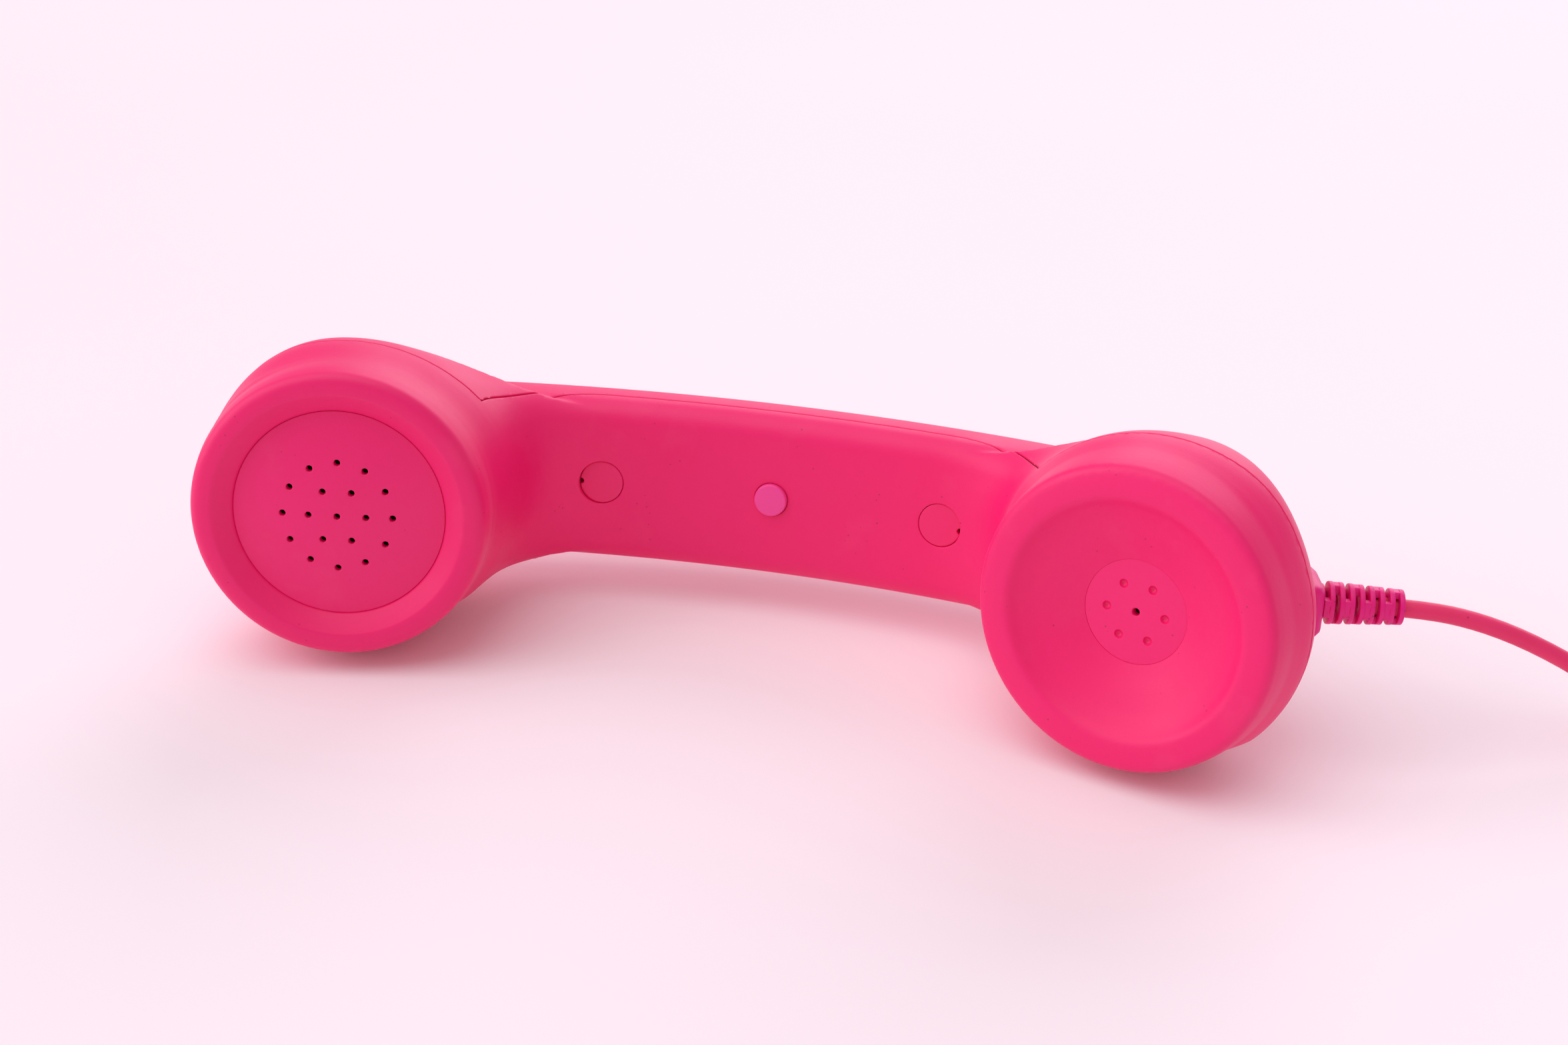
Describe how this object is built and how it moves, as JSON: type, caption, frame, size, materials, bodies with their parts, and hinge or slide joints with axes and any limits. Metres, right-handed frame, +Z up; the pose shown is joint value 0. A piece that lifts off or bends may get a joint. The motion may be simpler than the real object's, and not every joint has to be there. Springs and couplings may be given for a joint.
{
  "type": "retro telephone handset",
  "caption": "Pink retro-style corded telephone handset lying on its side, with a round earpiece, dished mouthpiece, call button, ribbed strain relief, cord and jack plug.",
  "frame": {"origin": "centre of the handset's footprint on the floor it lies on, with the cord, its coil and its plug left out", "axes": "+X along the handset from the earpiece to the mouthpiece, +Y to the back of the handle, +Z up"},
  "size_m": [0.3781, 0.0719, 0.0605],
  "materials": {
    "shell": "soft-touch matte",
    "button": "satin",
    "relief": "satin",
    "cord": "satin",
    "plug_metal": "polished",
    "steel": "zinc plated",
    "tin": "satin",
    "black_plastic": "satin",
    "wire_red": "satin",
    "board": "coated",
    "dark_rubber": "matte",
    "dark_cloth": "woven",
    "dark_paper": "matte"
  },
  "bodies": {
    "handset": {"front_shell": "shell", "rear_shell": "shell", "ear_grille": "shell", "ear_mesh": "dark_cloth", "speaker_gasket": "dark_rubber", "speaker_frame": "steel", "speaker_cone": "dark_paper", "speaker_magnet": "steel", "ear_weight": "steel", "mouth_grille": "shell", "mic_felt": "dark_cloth", "mic_boot": "dark_rubber", "mic_capsule": "tin", "mouth_weight": "steel", "weight_screws": "steel", "switch_body": "tin", "circuit_board": "board", "board_screws": "steel", "body_screws": "steel", "screw_caps": "shell", "strain_relief": "relief", "cord_stop": "tin", "ear_wires": "wire_red", "mic_wires": "black_plastic", "cord": "cord", "cord_coil": "cord", "plug_body": "relief", "plug_pins": "plug_metal", "plug_rings": "black_plastic"},
    "call_button": {"button": "button", "switch_plunger": "black_plastic"}
  },
  "joints": [
    {"name": "button_press", "type": "slide", "parent": "handset", "child": "call_button", "axis": [0.0242, 0.9845, -0.1738], "range_m": [0, 0.0004], "stiffness_N_per_m": 1500}
  ]
}
